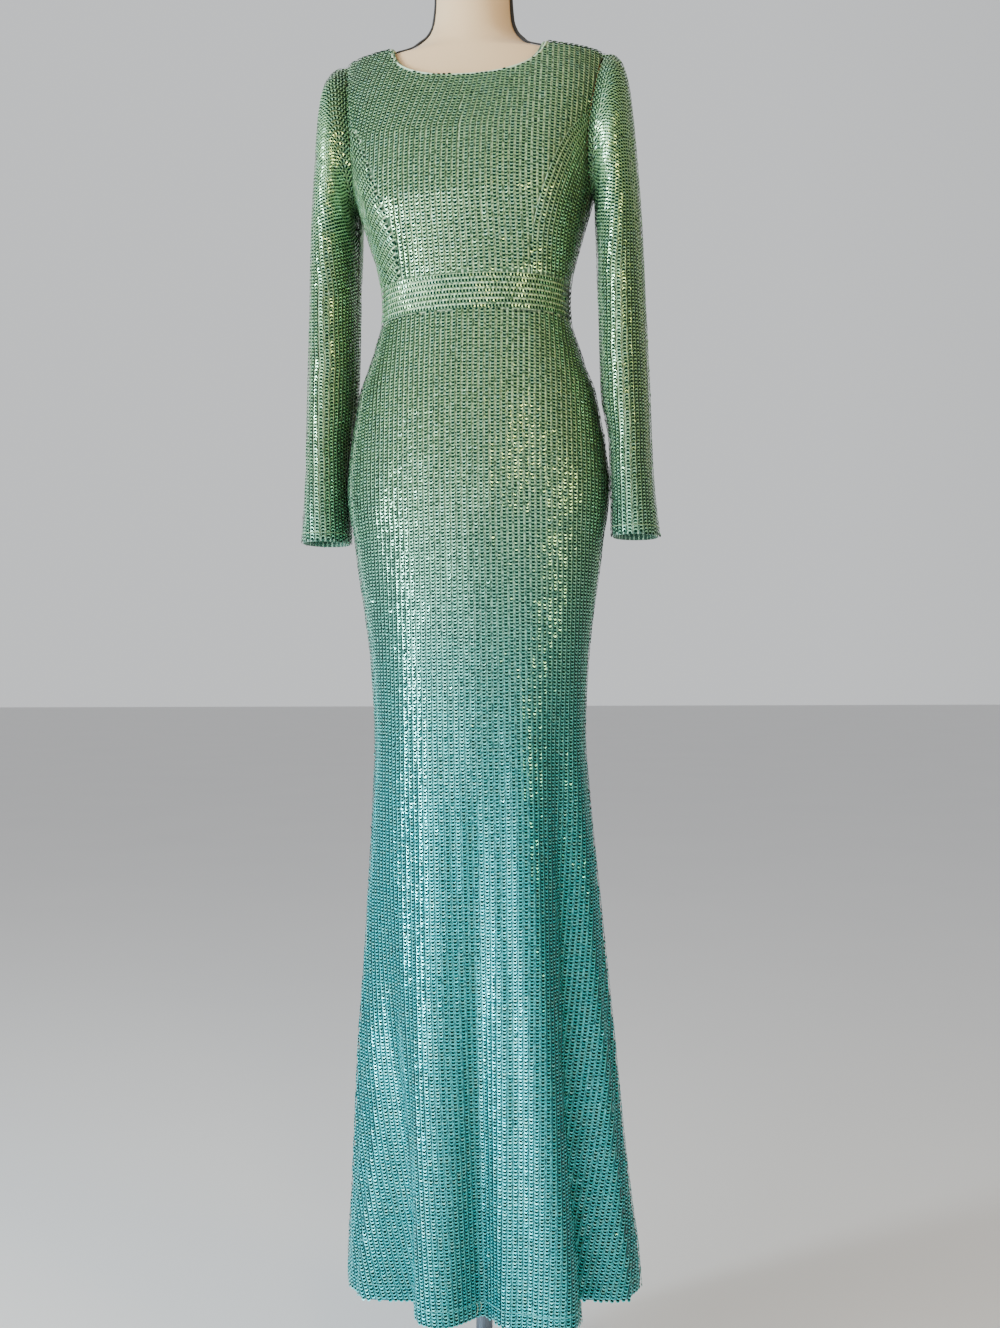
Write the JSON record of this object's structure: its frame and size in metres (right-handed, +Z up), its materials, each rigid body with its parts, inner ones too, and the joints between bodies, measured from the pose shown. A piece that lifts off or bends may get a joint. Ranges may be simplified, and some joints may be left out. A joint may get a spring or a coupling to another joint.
{
  "type": "evening gown on a limbless dress form",
  "caption": "Long-sleeved, round-necked sequinned evening gown with a waistband and a skirt flared from the knee, worn by a limbless torso form on a pole stand.",
  "frame": {"origin": "centre of the stand's underside, on the floor", "axes": "+Z up, the gown's front faces -Y, the wearer's left is at +X"},
  "size_m": [0.457, 0.4, 1.8513],
  "materials": {
    "sequin_net": "aqua-green sequins in columns on net",
    "zip_tape": "woven tape",
    "zip_metal": "satin",
    "form_jersey": "cream jersey",
    "piping": "black tape",
    "steel": "grey satin"
  },
  "bodies": {
    "gown_and_form": {"bodice_front_centre": "sequin_net", "bodice_front_side_left": "sequin_net", "bodice_front_side_right": "sequin_net", "bodice_back_left": "sequin_net", "bodice_back_right": "sequin_net", "waistband_front": "sequin_net", "waistband_back_left": "sequin_net", "waistband_back_right": "sequin_net", "skirt_front": "sequin_net", "skirt_back_left": "sequin_net", "skirt_back_right": "sequin_net", "sleeve_left": "sequin_net", "sleeve_right": "sequin_net", "zip_tape": "zip_tape", "zip_slider": "zip_metal", "form_torso": "form_jersey", "form_piping_left": "piping", "form_piping_right": "piping", "form_neck_cap": "form_jersey", "stand_pole": "steel", "stand_socket": "steel", "stand_base": "steel"},
    "pull_tab": {"zip_pull": "zip_metal"}
  },
  "joints": [
    {"name": "pull_tab_hinge", "type": "hinge", "parent": "gown_and_form", "child": "pull_tab", "pos_m": [0, 0.08061, 1.69435], "axis": [1, 0, 0], "range_deg": [0, 140]}
  ]
}
